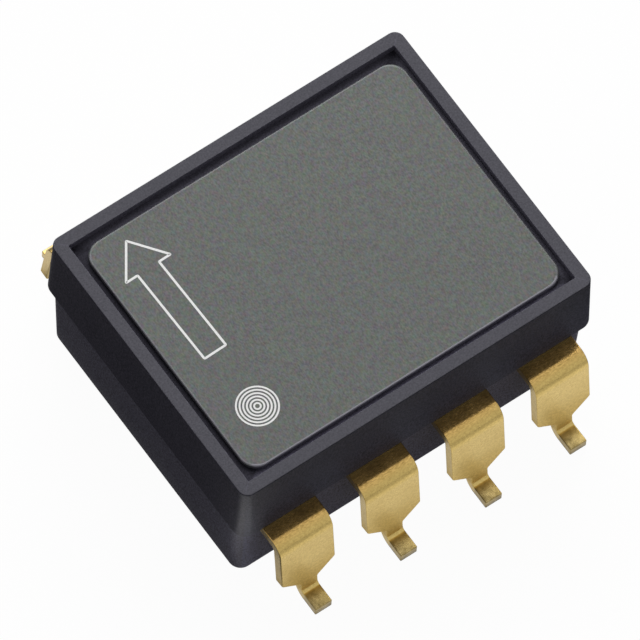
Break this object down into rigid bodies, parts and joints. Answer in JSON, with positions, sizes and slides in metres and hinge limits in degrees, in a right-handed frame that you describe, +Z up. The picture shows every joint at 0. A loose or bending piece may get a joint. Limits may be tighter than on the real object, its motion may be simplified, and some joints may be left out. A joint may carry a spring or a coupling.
{
  "type": "inclinometer sensor chip",
  "caption": "Surface-mount inclinometer in a black moulded tub with a recessed grey metal lid and gold gull-wing leads along two sides; senses tilt along the arrow.",
  "frame": {"origin": "on the board surface, under the middle of the package, where the feet rest", "axes": "+X along the lead rows from the first lead to the fourth, +Y across the rows the way the arrow points, +Z up out of the board"},
  "size_m": [0.0106, 0.0116, 0.005],
  "materials": {
    "moulded_plastic": "fine satin moulded black",
    "lid_metal": "matt grey with a fine grain",
    "white_print": "thin white print on the lid",
    "gold_plate": "satin gold plating on copper alloy",
    "bond_wire": "bright drawn gold",
    "silicon": "polished silicon",
    "adhesive": "cured silicone adhesive",
    "gel": "soft clear silicone gel"
  },
  "bodies": {
    "root": {"housing": "moulded_plastic", "lid": "lid_metal", "lid_adhesive": "adhesive", "gel_fill": "gel", "lead_1": "gold_plate", "lead_2": "gold_plate", "lead_3": "gold_plate", "lead_4": "gold_plate", "lead_5": "gold_plate", "lead_6": "gold_plate", "lead_7": "gold_plate", "lead_8": "gold_plate", "asic_die": "silicon", "asic_die_attach": "adhesive", "sensor_die_attach": "adhesive", "sensor_base_wafer": "silicon", "sensor_mass_wafer": "silicon", "sensor_cap_wafer": "silicon", "lead_bond_wires": "bond_wire", "sensor_bond_wires": "bond_wire"}
  },
  "joints": []
}
